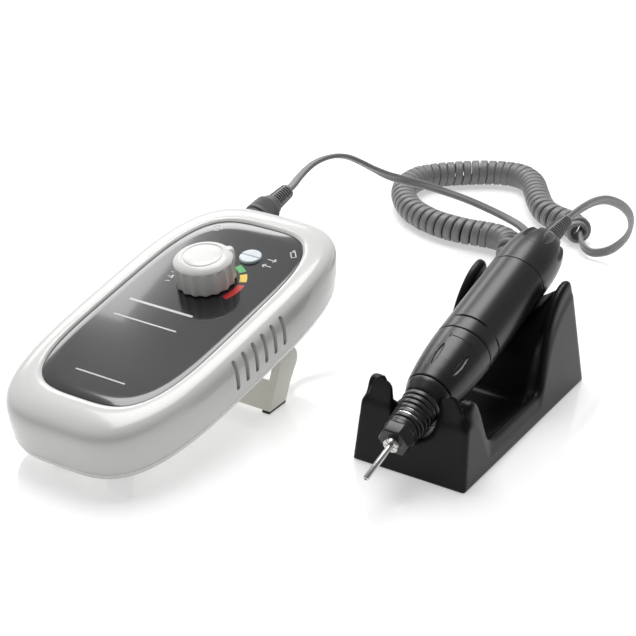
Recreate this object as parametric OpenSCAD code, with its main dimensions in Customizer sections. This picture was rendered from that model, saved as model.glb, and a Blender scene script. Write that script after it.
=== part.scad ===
// Electric nail drill: rechargeable control unit, handpiece with bit, curly cord and cradle.
// Origin: on the surface it stands on, in the middle. +Y runs along the unit towards its
// sockets, +X to the right, +Z up.

/* [Control unit] */
// X of the middle of the control panel
unit_x = -45; // [-60:1:-40]
// Y of the middle of the control panel
unit_y = -15; // [-20:1:0]
// Height of the middle of the control panel
panel_height = 40.5; // [38:0.5:44]
// Slope of the panel, raised at the socket end
panel_tilt = 10.25; // [8:0.25:12]
// Half width of the casing at its widest
case_half_w = 41.2; // [40:0.2:43]
// Half length of the casing at its longest
case_half_l = 79; // [76:0.5:82]
// Half width of the black panel
panel_half_w = 30.4; // [28:0.2:32]
// Half length of the black panel
panel_half_l = 63.3; // [60:0.1:65]
// Depth of the joint between the two casings below the panel
seam_depth = 18.6; // [17:0.1:19]
// Depth of the underside below the panel
belly_depth = 22; // [21:0.5:23]
// Wall thickness of the casings
case_wall = 2; // [1.6:0.1:2.4]

/* [Controls] */
// Distance of the speed knob from the panel's middle, towards the sockets
knob_l = 20.2; // [18:0.1:22]
// Radius of the speed knob
knob_r = 12.4; // [11:0.1:13]
// Height of the speed knob
knob_h = 12.6; // [10:0.1:14]
// Number of grip flutes on the knob
knob_flutes = 20; // [12:1:24]
// Angle of the pointer from +X at rest
pointer_angle = 57; // [0:1:90]
// Radius of the direction switch button
rocker_r = 4.7; // [4:0.1:5]
// Diameter of the speed control's shaft
pot_shaft_d = 6; // [6:1:6]

/* [Kickstand] */
// Distance of the hinge from the panel's middle
hinge_l = 17; // [15:1:20]
// Depth of the hinge below the panel
hinge_depth = 26.5; // [26:0.1:27]
// Lean of the opened kickstand from the vertical
stand_lean = 24; // [20:1:28]
// Half the outer width of the kickstand
kick_half_w = 38.5; // [36:0.5:38.5]
// Thickness of the kickstand's legs
kick_t = 3.5; // [3:0.1:4]
// Radius of the leg at the hinge
kick_r = 6.2; // [5.5:0.1:6.2]

/* [Handpiece] */
// Slope of the handpiece as it lies in the cradle
hand_tilt = 15.3; // [12:0.1:18]
// Largest radius of the barrel
barrel_r = 12.3; // [11.5:0.1:12.5]
// Length of the rear cap
cap_len = 27.5; // [26:0.5:29]
// Distance from the rear end to the chuck ring
ring_start = 73.5; // [72:0.5:75]
// Distance from the rear end to the nose
nose_start = 100; // [98:0.5:102]
// Length of the handpiece without its strain relief
hand_len = 128; // [126:0.5:130]
// Diameter of the bit's shank
shank_d = 2.35; // [2.35:0.01:2.35]
// Length of the bit that shows
bit_out = 20; // [18:0.5:22]

/* [Cradle] */
// X of the cradle's middle
cradle_x = 63; // [60:1:66]
// Y of the cradle's middle
cradle_y = 34; // [30:1:40]
// Width of the cradle's base
cradle_w = 48.4; // [46:0.2:50]
// Length of the cradle's base
cradle_l = 110; // [106:1:114]

/* [Cord] */
// Width of the flat lead
lead_d = 4.2; // [3.6:0.1:4.4]
// Outer diameter of the curly part
coil_d = 13.2; // [12:0.1:14]

/* [Hidden] */
$fn = 64;
eps = 0.01;
fit = 0.05;
gap = 0.3;
outline_steps = 72;
// superellipse exponents across and along, and how much wider the socket end is
case_round = [3.7, 3.4];
panel_round = [3.58, 4.0];
case_flare = 0.035;
rocker_l = 41.7;
rocker_x = 7.2;
pot_r = 8.5;
board_top = -12.6;
board_t = 1.6;
board_w = 63;
board_l0 = -10;
board_len = 68;
screw_r = 1.5;
screw_head_r = 2.7;
inner_floor = -belly_depth + case_wall;
// sockets in the far end wall
motor_x = -16.5;
charge_x = 21;
socket_depth = 9;
wall_l = case_half_l - 2.6;
plug_start = wall_l + 3.2;
plug_grip_len = 13;
plug_relief_len = 12;
jack_r = 2.75;
socket_r = 5.95;
jack_body_r = 4.45;
plug_pin_r = 3;
vent_pitch = 6.4;
vent_first = -20.3;
vent_count = 6;
cell_r = 7.25;
cell_len = 49.2;
cell_l = [-50, -35.4, -20.8];
// posts at the near end stand inside the narrowing corners
screw_xy = [[-22, -66], [22, -66], [-28, 53], [28, 53]];
foot_xy = [[-13, -62], [13, -62]];
foot_r = 5;
leg_gap = 0.3;
pin_r = 2;
kick_fold = 90 + stand_lean + panel_tilt;
// handpiece
hand_end = [cradle_x, 93, 54.1];
relief_droop = 9;
relief_len = 20;
relief_neck_r = 3.2;
spindle_r = 3;
can_r = 9.6;
can_start = 30;
can_len = 32;
bearing_r = 6.5;
// bore of the barrel, and the spigots of the cap and the nose in it
shell_r = can_r + 0.1;
cap_flutes = 8;
bit_len = 44;
// Route of the lead from the plug to the start of the curly part
lead_route = [
  [-61.5, 89.8, 50.4], [-61.8, 94.6, 51.2], [-62.6, 100, 52.3], [-63, 105, 53.4], [-62.7, 110, 54.8],
  [-61.5, 114.8, 56], [-59.6, 119.6, 56.6], [-56.8, 124, 56.6], [-53, 128, 55.4], [-47.8, 131, 52.8],
  [-42.6, 134.4, 49.4], [-38, 139.8, 45.4], [-33.6, 148.4, 41], [-28.2, 157.8, 36.5], [-21.8, 165.5, 32],
  [-14, 171.3, 28], [-5.5, 175.6, 24], [4.2, 177.6, 20.5], [12.8, 176.8, 18], [18.5, 174, 15],
  [21.2, 169.6, 11.8], [21.2, 164, 9], [19.6, 159, 7.2], [16, 156.6, 6.5], [12, 158.6, 6.6],
  [10, 162.6, 6.6], [9.5, 167, 6.6]
];
// Middle line of the curly part, on the surface
coil_route = [
  [9.5, 167, 6.6], [9, 174, 6.6], [5, 180.5, 6.6], [-2, 183.5, 6.6], [-10, 183, 6.6], [-20, 181.5, 6.6],
  [-32, 182, 6.6], [-43, 185, 6.6], [-54, 191, 6.6], [-63, 200, 6.6], [-69.5, 210, 6.6], [-72, 220, 6.6],
  [-71, 230, 6.6], [-65, 239, 6.6], [-56, 247.5, 6.6], [-47, 254.5, 6.6], [-37, 259.5, 6.6],
  [-27, 260, 6.6], [-18, 254, 6.6], [-10.5, 243, 6.6], [-3.5, 232.5, 6.6], [3.5, 224.5, 6.6],
  [11, 220, 6.6], [19, 217.5, 6.6], [25, 214, 6.6], [30, 208, 6.6]
];
// Route of the tail from the end of the curly part to the handpiece's strain relief
tail_route = [
  [30, 208, 6.6], [32.6, 203, 5.4], [36, 199.4, 4.2], [40.2, 198, 3.4], [44.8, 198, 4.4], [49.8, 197.2, 7.2],
  [54.8, 194.8, 12], [59.4, 191.4, 18], [63, 186.6, 24.6], [65.4, 181, 31], [66.8, 174, 38],
  [67, 165.6, 44.5], [66.5, 156.3, 50], [65.6, 147.2, 54], [65, 137, 56.6], [64.6, 127, 57.7],
  [63.8, 119.6, 57.3], [63, 113.2, 56.5]
];

// ---------- helpers ----------

function power(c, e) = sign(c) * pow(abs(c), 2 / e);

// One closed outline: half width a, half length b, shifted along by o, at height z
function outline(a, b, e, flare, o, z) = [
  for (i = [0 : outline_steps - 1])
    let (t = 360 * i / outline_steps, y = power(sin(t), e[1]))
    [a * power(cos(t), e[0]) * (1 + flare * y), b * y + o, z]
];

function flat(ring) = [for (p = ring) [p[0], p[1]]];
function mix(a, b, t) = a + (b - a) * t;

// Rings joined into a skin. capped: both ends closed; otherwise the last ring joins the first.
module skin(rings, capped) {
  n = len(rings);
  c = len(rings[0]);
  last = capped ? n - 2 : n - 1;
  sides = [
    for (j = [0 : last], i = [0 : c - 1])
      let (k = (i + 1) % c, m = (j + 1) % n)
      each [[j * c + i, m * c + i, m * c + k], [j * c + i, m * c + k, j * c + k]]
  ];
  low = [[for (i = [0 : c - 1]) i]];
  high = [[for (i = [c - 1 : -1 : 0]) (n - 1) * c + i]];
  polyhedron(points = [for (r = rings) each r], faces = capped ? concat(sides, low, high) : sides, convexity = 6);
}

// Rings of a casing from [inset from the largest outline, depth below the panel] pairs
function case_ring(inset, depth) = outline(case_half_w - inset, case_half_l - inset, case_round, case_flare,
  -1.5 - 0.08 * depth, -depth);
function panel_ring(grow, depth) = outline(panel_half_w + grow, panel_half_l + grow, panel_round, 0, 0, -depth);
// Rings between the panel's outline and the casing's outline: t from 0 at the panel to 1 at the casing
function rim_ring(t, depth) = [
  for (i = [0 : outline_steps - 1]) mix(panel_ring(0.4, depth)[i], case_ring(0, depth)[i], t)
];

module in_unit() {
  translate([unit_x, unit_y, panel_height]) rotate([panel_tilt, 0, 0]) children();
}

module at_socket(x) {
  in_unit() translate([x, 0, -socket_depth]) rotate([-90, 0, 0]) children();
}

module in_hand() {
  translate(hand_end) rotate([90 + hand_tilt, 0, 0]) children();
}

module in_cradle() {
  translate([cradle_x, cradle_y, 0]) children();
}

module pipe(r_out, r_in, z0, z1) {
  translate([0, 0, z0]) difference() {
    cylinder(r = r_out, h = z1 - z0);
    translate([0, 0, -1]) cylinder(r = r_in, h = z1 - z0 + 2);
  }
}

module disc(r, z0, z1) {
  translate([0, 0, z0]) cylinder(r = r, h = z1 - z0);
}

function unit_dir(v) = v / norm(v);
function tangent(path, i) = unit_dir(path[min(i + 1, len(path) - 1)] - path[max(i - 1, 0)]);
function ring_at(p, t, r, sides) =
  let (side = unit_dir(cross(t, abs(t[2]) > 0.9 ? [0, 1, 0] : [0, 0, 1])), up = cross(side, t))
  [for (i = [0 : sides - 1]) let (a = 360 * i / sides) p + r * (cos(a) * side - sin(a) * up)];

// A tube swept along a list of points
module tube(path, r, sides) {
  skin([for (i = [0 : len(path) - 1]) ring_at(path[i], tangent(path, i), r, sides)], true);
}

// ---------- control unit ----------

module vents() {
  for (i = [0 : vent_count - 1])
    translate([case_half_w - 3.2, vent_first + i * vent_pitch, -14.4]) cube([6, 2.2, 12.8]);
}

module upper_case() {
  color("#f4f4f2") in_unit() difference() {
    skin([
      case_ring(0.9, seam_depth), case_ring(0.1, 11), case_ring(0, 6), rim_ring(0.95, 3.2), rim_ring(0.8, 1.2),
      rim_ring(0.55, -0.4), rim_ring(0.25, -1), rim_ring(0.08, -0.7), panel_ring(0.3, 0.2),
      panel_ring(0.3, case_wall), panel_ring(-2.6, case_wall), panel_ring(-2.6, 2 * case_wall),
      rim_ring(0.55, 2 * case_wall), case_ring(case_wall + 0.6, 7), case_ring(case_wall, 10),
      case_ring(case_wall + 0.9, seam_depth)
    ], false);
    vents();
    translate([motor_x, case_half_l - 18, -socket_depth]) rotate([-90, 0, 0]) cylinder(r = socket_r + fit, h = 28);
    translate([charge_x, case_half_l - 10, -socket_depth]) rotate([-90, 0, 0]) cylinder(r = jack_body_r + fit, h = 20);
  }
}

module leg_slots(extra, up) {
  for (s = [-1, 1])
    translate([s * (kick_half_w - kick_t / 2), hinge_l, -hinge_depth]) {
      rotate([0, 90, 0]) cylinder(r = kick_r + up, h = kick_t + 2 * extra, center = true);
      translate([-kick_t / 2 - extra, 0, 0]) cube([kick_t + 2 * extra, 22 + up, kick_r + up]);
    }
}

module lower_case() {
  lug_w = 3.6;
  lug_x = kick_half_w - kick_t - leg_gap - lug_w;
  color("#ececea") in_unit() difference() {
    union() {
      skin([
        case_ring(4.2, belly_depth), case_ring(1.8, belly_depth - 0.9), case_ring(0.9, seam_depth),
        case_ring(case_wall + 1, seam_depth), case_ring(case_wall + 2.2, -inner_floor)
      ], true);
      intersection() {
        leg_slots(1.3, 1.7);
        translate([-case_half_w + 3.4, 0, -belly_depth + eps]) cube([2 * case_half_w - 6.8, 60, 3.3]);
      }
      for (s = [-1, 1])
        translate([s * (lug_x + lug_w / 2), hinge_l, -hinge_depth]) {
          rotate([0, 90, 0]) cylinder(r = 4, h = lug_w, center = true);
          translate([-lug_w / 2, -4, 0]) cube([lug_w, 8, hinge_depth - belly_depth + 1]);
        }
      for (p = screw_xy)
        translate([p[0], p[1], inner_floor - eps]) cylinder(r = 3.4, h = board_top - board_t - inner_floor + eps);
    }
    leg_slots(leg_gap, 0.4);
    translate([0, hinge_l, -hinge_depth]) rotate([0, 90, 0]) cylinder(r = pin_r + fit, h = 90, center = true);
    for (p = screw_xy) {
      translate([p[0], p[1], -belly_depth - 1]) cylinder(r = screw_r, h = 12);
      translate([p[0], p[1], -belly_depth - 1]) cylinder(r = screw_head_r + 0.2, h = 2.4);
    }
  }
}

module panel_glass() {
  color("#141416") in_unit() difference() {
    translate([0, 0, -case_wall]) linear_extrude(case_wall) polygon(flat(panel_ring(0, 0)));
    translate([0, knob_l, -5]) cylinder(r = 4.5, h = 10);
    translate([rocker_x, rocker_l, -5]) cylinder(r = rocker_r + 0.7, h = 10);
  }
}

module speed_knob() {
  flute_r = 1.5;
  color("#f0f0ee") in_unit() translate([0, knob_l, 0]) difference() {
    union() {
      rotate_extrude() polygon([
        [0, 0.4], [knob_r, 0.4], [knob_r, knob_h - 2.4], [knob_r - 0.7, knob_h - 0.9],
        [knob_r - 2.2, knob_h], [8.8, knob_h], [8.3, knob_h - 0.5], [7.8, knob_h], [0, knob_h]
      ]);
      rotate(pointer_angle) translate([knob_r - 2.6, 0, knob_h - 1.4]) cylinder(r = 1.3, h = 1.9);
    }
    for (i = [0 : knob_flutes - 1])
      rotate((i + 0.5) * 360 / knob_flutes) translate([knob_r + flute_r - 0.6, 0, -1]) cylinder(r = flute_r, h = 10.2);
    translate([0, 0, -1]) cylinder(r = pot_shaft_d / 2, h = 10);
  }
}

module pot_shaft() {
  color("#c8c8c8") in_unit() translate([0, knob_l, 0]) disc(pot_shaft_d / 2, -8.8, 9);
}

module speed_pot() {
  color("#9aa0a4") in_unit() translate([0, knob_l, 0]) difference() {
    union() {
      disc(pot_r, board_top, -5);
      disc(4.2, -6, -0.3);
    }
    disc(pot_shaft_d / 2 + fit, -8.9, 2);
  }
}

module direction_rocker() {
  color("#dfe6ec") in_unit() translate([rocker_x, rocker_l, 0]) {
    difference() {
      disc(rocker_r, -0.9, 1.2);
      translate([-rocker_r, -0.15, 0.9]) cube([2 * rocker_r, 0.3, 2]);
    }
    translate([-2.5, -1.5, -4.6]) cube([5, 3, 4]);
    translate([0, 0, -3.6]) rotate([0, 90, 0]) cylinder(r = 0.9, h = 9, center = true);
  }
}

module rocker_switch() {
  color("#2b2b2e") in_unit() translate([rocker_x, rocker_l, 0]) difference() {
    translate([-5.5, -5.5, board_top]) cube([11, 11, -board_top - 2.2]);
    translate([-3, -2.6, -6.2]) cube([6, 5.2, 8]);
    translate([0, 0, -3.6]) rotate([0, 90, 0]) cylinder(r = 0.9 + fit, h = 9.6, center = true);
  }
}

module main_board() {
  color("#1f6b3a") in_unit() difference() {
    translate([-board_w / 2, board_l0, board_top - board_t]) cube([board_w, board_len, board_t]);
    for (p = screw_xy) translate([p[0], p[1], -20]) cylinder(r = screw_r + 0.1, h = 10);
  }
}

module board_components() {
  color("#303030") in_unit() translate([0, 0, board_top]) {
    for (i = [0 : 1]) translate([-22 + i * 11, 4, 0]) cylinder(r = 4, h = 7);
    translate([14, -6, 0]) cube([12, 9, 2.4]);
    translate([-24, 34, 0]) cube([10, 4.6, 8]);
    translate([12, 14, 0]) cube([7, 7, 1.6]);
  }
}

module battery_cells() {
  cap_h = 1;
  color("#3b6ea8") in_unit() for (l = cell_l)
    translate([0, l, inner_floor + cell_r + fit]) rotate([0, 90, 0]) {
      cylinder(r = cell_r, h = cell_len, center = true);
      translate([0, 0, cell_len / 2 - eps]) cylinder(r = 2.6, h = cap_h);
    }
}

// Round socket in the far end wall for the handpiece's plug
module motor_socket() {
  color("#222224") at_socket(motor_x) {
    pipe(socket_r, plug_pin_r + fit, wall_l - 12, wall_l + 2.6);
    disc(socket_r, wall_l - 14, wall_l - 11.9);
  }
}

// Barrel jack for the charger: 5.5 mm sleeve with a 2.1 mm pin
module charge_jack() {
  color("#222224") at_socket(charge_x) {
    pipe(jack_body_r, jack_r, wall_l - 9, wall_l - 1.2);
    disc(jack_body_r, wall_l - 11, wall_l - 9 + eps);
    disc(1.05, wall_l - 9 - eps, wall_l - 2);
  }
}

module case_screws() {
  color("#b8b8ba") in_unit() for (p = screw_xy) translate([p[0], p[1], 0]) {
    disc(screw_head_r, -belly_depth, -belly_depth + 1.4);
    disc(screw_r, -belly_depth + 1.39, -belly_depth + 9.6);
  }
}

module front_feet() {
  color("#3a3a3c") intersection() {
    in_unit() for (p = foot_xy) translate([p[0], p[1], -40]) cylinder(r = foot_r, h = 40 - belly_depth);
    translate([unit_x - 60, unit_y - 100, 0]) cube([120, 200, 60]);
  }
}

hinge_y = unit_y + hinge_l * cos(panel_tilt) + hinge_depth * sin(panel_tilt);
hinge_z = panel_height + hinge_l * sin(panel_tilt) - hinge_depth * cos(panel_tilt);
// Depth along the leg, below the hinge, at which the floor cuts it, at sideways distance y
function floor_at(y) = -(hinge_z - y * sin(stand_lean)) / cos(stand_lean);

module kickstand() {
  pad = 1;
  color("#efece2") translate([unit_x, hinge_y, hinge_z]) rotate([-stand_lean, 0, 0]) {
    for (s = [-1, 1]) {
      translate([s * (kick_half_w - kick_t / 2), 0, 0]) rotate([90, 0, 90])
        linear_extrude(kick_t, center = true) union() {
          circle(r = kick_r);
          polygon([[-kick_r, 0], [-kick_r, floor_at(-kick_r) + pad], [4.6, floor_at(4.6) + pad], [4.6, -9], [kick_r, 0]]);
        }
      translate([s * (kick_half_w - kick_t - 2), 0, 0]) rotate([0, 90, 0])
        cylinder(r = pin_r, h = 4.2, center = true);
    }
    difference() {
      translate([-kick_half_w, -kick_r, floor_at(-kick_r) + pad]) cube([2 * kick_half_w, 3, 12]);
      rotate([stand_lean, 0, 0]) translate([-50, -30, -hinge_z - 10]) cube([100, 60, 10 + pad]);
    }
  }
}

// Thin rubber strip under the kickstand's foot
module kickstand_grips() {
  color("#58585a") intersection() {
    translate([unit_x, hinge_y, hinge_z]) rotate([-stand_lean, 0, 0])
      for (s = [-1, 1]) translate([s * (kick_half_w - kick_t / 2) - kick_t / 2, -kick_r, -30]) cube([kick_t, kick_r + 4.6, 30]);
    translate([unit_x - 60, unit_y - 60, 0]) cube([120, 120, 0.9]);
  }
}

// ---------- plug and cord ----------

module plug_pin() {
  color("#c9c9cc") at_socket(motor_x) {
    disc(plug_pin_r, wall_l - 8, plug_start);
    disc(2.2, wall_l - 11.4, wall_l - 8 + eps);
  }
}

module plug_grip() {
  z1 = plug_start + plug_grip_len;
  color("#5b5d60") at_socket(motor_x) rotate_extrude() polygon([
    [0, plug_start], [6.2, plug_start], [6.5, plug_start + 1], [6.3, z1 - 4], [4.6, z1], [0, z1]
  ]);
}

module plug_relief() {
  z0 = plug_start + plug_grip_len;
  z1 = z0 + plug_relief_len;
  color("#5b5d60") at_socket(motor_x) rotate_extrude() polygon([[0, z0], [4.3, z0], [3.5, z1], [0, z1]]);
}

module lead_cord() {
  color("#77797b") tube(lead_route, lead_d / 2, 8);
}

module curly_cord() {
  color("#77797b") tube(coil_route, coil_d / 2, 12);
}

module tail_cord() {
  color("#77797b") tube(tail_route, lead_d / 2, 8);
}

// ---------- handpiece ----------

module tail_relief() {
  color("#6d6f71") in_hand() {
    rotate([-relief_droop, 0, 0]) rotate_extrude() polygon([
      [0, -relief_len], [2.8, -relief_len], [4.4, -2], [4.4, 0], [0, 0]
    ]);
    disc(relief_neck_r, -0.5, 4);
  }
}

module rear_cap() {
  color("#1c1c1e") in_hand() difference() {
    rotate_extrude() polygon([
      [0, 0.8], [7.6, 0.8], [9.2, 2.4], [10.9, 7], [11.9, 13], [barrel_r, 19], [barrel_r, cap_len],
      [shell_r, cap_len], [shell_r, cap_len + 2.2], [8.8, cap_len + 2.2], [8.8, 16], [7.6, 8], [0, 8]
    ]);
    for (i = [0 : cap_flutes - 1])
      rotate((i + 0.5) * 360 / cap_flutes) translate([0, 12.2, 4]) rotate([-14, 0, 0]) cylinder(r = 3, h = 12);
    disc(relief_neck_r, -1, 4);
  }
}

module barrel() {
  color("#1c1c1e") in_hand() pipe(barrel_r, shell_r, cap_len + 0.15, ring_start - 0.15);
}

module chuck_ring() {
  color("#1c1c1e") in_hand() rotate_extrude() polygon([
    [9.2, ring_start + 0.15], [barrel_r, ring_start + 0.15], [barrel_r - 0.2, 84], [11.3, nose_start - 0.15],
    [9.2, nose_start - 0.15]
  ]);
}

// The sleeve carries the chuck ring on its rear part and ends in the grooved nose
module nose_sleeve() {
  z0 = 105;
  color("#1c1c1e") in_hand() rotate_extrude() polygon(concat(
    [[bearing_r, 66], [shell_r, 66], [shell_r, ring_start - 0.15], [9.15, ring_start - 0.15],
     [9.15, nose_start + 0.15], [11.1, nose_start + 0.15], [9.7, z0]],
    [for (i = [0 : 6]) let (z = z0 + i * 1.9, r = 9.6 - 0.28 * i)
      each [[r - 0.6, z + 0.1], [r - 0.6, z + 0.7], [r, z + 0.8], [r - 0.15, z + 1.8]]],
    [[7.4, 118.6], [7.2, 122], [4.6, 122], [4.6, 120], [bearing_r, 120]]
  ));
}

module nose_tip() {
  color("#151516") in_hand() difference() {
    intersection() {
      translate([0, 0, 122]) cylinder(r1 = 7.2, r2 = 5.2, h = hand_len - 122);
      translate([0, 0, 122]) cylinder(r = 6.9, h = 10, $fn = 6);
    }
    disc(3.6, 120, 130);
  }
}

module motor_can() {
  color("#a9abad") in_hand() difference() {
    disc(can_r, can_start, can_start + can_len);
    disc(can_r - 0.8, can_start - 1, can_start + can_len - 1.2);
    disc(1.6, can_start, 80);
  }
}

module motor_magnets() {
  color("#4a4a4c") in_hand() difference() {
    pipe(can_r - 0.8, 6.8, can_start + 9, can_start + can_len - 4);
    translate([-12, -1.2, can_start]) cube([24, 2.4, 40]);
  }
}

module rotor() {
  color("#b06a35") in_hand() difference() {
    disc(6.4, can_start + 10, can_start + can_len - 5);
    disc(1, can_start, 80);
    for (i = [0 : 4]) rotate(i * 72) translate([4.4, -0.8, can_start]) cube([3, 1.6, 40]);
  }
}

module commutator() {
  color("#b87333") in_hand() pipe(2.6, 1, can_start + 3, can_start + 9.6);
}

module motor_shaft() {
  color("#d0d0d2") in_hand() disc(1, can_start - 1.8, 68);
}

module brush_holder() {
  color("#e9e4d6") in_hand() difference() {
    disc(can_r - 0.85, can_start - 4, can_start + 6);
    disc(4.2, can_start + 2.6, can_start + 7);
    disc(1.1, can_start - 5, can_start + 4);
    translate([-7.6, -1.5, can_start + 3.5]) cube([15.2, 3, 2]);
  }
}

module motor_brushes() {
  color("#2e2e30") in_hand() for (s = [-1, 1])
    translate([s > 0 ? 2.9 : -7.4, -1.3, can_start + 3.6]) cube([4.5, 2.6, 1.8]);
}

module bearing(r_out, r_in, z0, w) {
  pipe(r_out, r_in, z0, z0 + w);
}

module rear_bearing() {
  color("#c4c6c8") in_hand() bearing(9.7 - 0.1, 1 + fit, can_start + can_len + 0.1, 3);
}

module drive_coupling() {
  color("#8d8f91") in_hand() difference() {
    disc(3.6, 66.4, 76);
    disc(1, 66, 70);
    disc(2, 70, 77);
  }
}

// Hollow shaft, driven by the coupling and carrying the collet
module spindle() {
  color("#d0d0d2") in_hand() {
    disc(2, 70, 76);
    difference() {
      disc(spindle_r, 76, 121.5);
      disc(2.4, 100, 122);
    }
  }
}

module middle_bearing() {
  color("#c4c6c8") in_hand() bearing(bearing_r, spindle_r + fit, 78, 4);
}

module front_bearing() {
  color("#c4c6c8") in_hand() bearing(bearing_r, spindle_r + fit, 115, 4);
}

// Split steel collet that grips the bit and shows as a ring at the nose
module collet() {
  color("#cfd0d2") in_hand() difference() {
    union() {
      disc(2.4, 102, 121.5);
      disc(3, 121.5, hand_len + 2);
    }
    disc(shank_d / 2 + 0.03, 101, 140);
    for (a = [0, 60, 120]) rotate(a) translate([-4, -0.15, hand_len - 4]) cube([8, 0.3, 8]);
  }
}

// The spring that closes the collet, as a sleeve of its outer size
module collet_spring() {
  color("#b9babc") in_hand() pipe(4.6, spindle_r, 96, 113);
}

module nail_bit() {
  tip = hand_len + bit_out;
  color("#d6d7d9") in_hand() difference() {
    union() {
      disc(shank_d / 2, tip - bit_len, tip - 0.4);
      translate([0, 0, tip - 0.4]) cylinder(r1 = shank_d / 2, r2 = shank_d / 2 - 0.3, h = 0.4);
    }
    disc(0.45, tip - 1.2, tip + 1);
  }
}

// ---------- cradle ----------

// Outline of the side walls: low rail between a front hump and a tall rear wing
module side_outline() {
  polygon([
    [-cradle_l / 2, 0], [cradle_l / 2, 0], [43.8, 46], [42, 48], [38.5, 49], [34, 48.6], [28, 45.4],
    [22.5, 39.5], [18.6, 32], [16, 23], [14.6, 14], [12, 11.2], [-29, 11.2], [-31.5, 13], [-34.5, 20],
    [-38, 27.4], [-41.5, 31.6], [-44.5, 33], [-47.5, 32], [-50, 28], [-52, 23.5]
  ]);
}

// Outline of the front plate with its two horns and the notch for the nose
module front_outline() {
  right = [
    [24.2, 0], [23.2, 22], [21.6, 25.4], [20.3, 27], [19.8, 31], [17.6, 35], [14.6, 37], [11.4, 37.2],
    [9.7, 35.6], [9.2, 30], [9, 24.5]
  ];
  notch = [for (a = [15 : 15 : 165]) [9 * cos(a), 24.5 - 9 * sin(a)]];
  polygon(concat(right, notch, [for (i = [len(right) - 1 : -1 : 0]) [-right[i][0], right[i][1]]]));
}

module along_y(from, to) {
  translate([0, to, 0]) rotate([90, 0, 0]) linear_extrude(to - from) children();
}

module along_x(from, to) {
  translate([from, 0, 0]) rotate([90, 0, 90]) linear_extrude(to - from) children();
}

module cradle_body() {
  wall = 5;
  half = cradle_w / 2;
  for (s = [-1, 1]) along_x(s > 0 ? half - wall : -half, s > 0 ? half : -half + wall) side_outline();
  along_y(-cradle_l / 2, -cradle_l / 2 + 9) front_outline();
  translate([-half, -cradle_l / 2, 0]) cube([cradle_w, cradle_l, 6]);
  // saddles in front of the nose and under the barrel
  along_x(-half, half) polygon([[-50, 0], [-50, 24], [-44, 26], [-38, 20], [-33, 6], [-33, 0]]);
  along_x(-half, half) polygon([[12, 0], [15, 14], [20, 27], [28, 36], [42, 42], [44, 40], [cradle_l / 2, 0]]);
}

module cradle() {
  // draft of the side and end walls
  lean = 0.057;
  front = 0.13;
  back = 0.24;
  h = 56;
  color("#161617") difference() {
    in_cradle() intersection() {
      cradle_body();
      along_x(-40, 40) polygon([
        [-cradle_l / 2, 0], [cradle_l / 2, 0], [cradle_l / 2 - back * h, h], [-cradle_l / 2 + front * h, h]
      ]);
      along_y(-90, 90) polygon([
        [-cradle_w / 2, 0], [cradle_w / 2, 0], [cradle_w / 2 - lean * h, h], [-cradle_w / 2 + lean * h, h]
      ]);
    }
    in_hand() {
      disc(barrel_r + 0.5, -20, 84);
      disc(barrel_r - 0.4, 80, 106);
      disc(10.2, 104, 140);
      translate([-barrel_r - 4, 0, 0]) cube([2 * barrel_r + 8, 60, 80]);
      translate([-10.2, 0, 80]) cube([20.4, 60, 60]);
    }
    in_cradle() for (x = [-1, 1], y = [-1, 1])
      translate([x * 17, y * 46, -1]) cylinder(r = 4, h = 1.8);
  }
}

module cradle_pads() {
  color("#3a3a3c") in_cradle() for (x = [-1, 1], y = [-1, 1])
    translate([x * 17, y * 46, 0]) cylinder(r = 4, h = 0.8);
}

upper_case();
lower_case();
panel_glass();
speed_knob();
pot_shaft();
speed_pot();
direction_rocker();
rocker_switch();
main_board();
board_components();
battery_cells();
motor_socket();
charge_jack();
case_screws();
front_feet();
kickstand();
kickstand_grips();
plug_pin();
plug_grip();
plug_relief();
lead_cord();
curly_cord();
tail_cord();
tail_relief();
rear_cap();
barrel();
chuck_ring();
nose_sleeve();
nose_tip();
motor_can();
motor_magnets();
rotor();
commutator();
motor_shaft();
brush_holder();
motor_brushes();
rear_bearing();
drive_coupling();
spindle();
middle_bearing();
front_bearing();
collet();
collet_spring();
nail_bit();
cradle();
cradle_pads();
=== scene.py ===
import math
import bpy
import bmesh
import numpy as np
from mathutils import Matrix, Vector


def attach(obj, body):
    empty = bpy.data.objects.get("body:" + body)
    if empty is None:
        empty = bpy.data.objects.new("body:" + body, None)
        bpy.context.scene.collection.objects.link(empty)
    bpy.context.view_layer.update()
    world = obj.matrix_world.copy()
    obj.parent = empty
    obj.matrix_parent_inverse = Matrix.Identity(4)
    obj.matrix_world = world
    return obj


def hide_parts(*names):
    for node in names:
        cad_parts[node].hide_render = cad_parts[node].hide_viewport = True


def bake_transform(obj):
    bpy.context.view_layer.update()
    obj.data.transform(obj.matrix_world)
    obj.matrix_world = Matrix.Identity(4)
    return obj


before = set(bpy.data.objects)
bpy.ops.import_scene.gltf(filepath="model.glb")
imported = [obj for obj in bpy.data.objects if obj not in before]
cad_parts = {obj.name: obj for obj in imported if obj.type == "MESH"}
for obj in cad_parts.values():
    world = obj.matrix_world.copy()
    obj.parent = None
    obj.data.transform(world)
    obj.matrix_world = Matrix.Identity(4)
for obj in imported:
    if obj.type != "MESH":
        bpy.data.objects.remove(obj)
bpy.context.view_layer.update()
MM = 0.001

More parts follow.
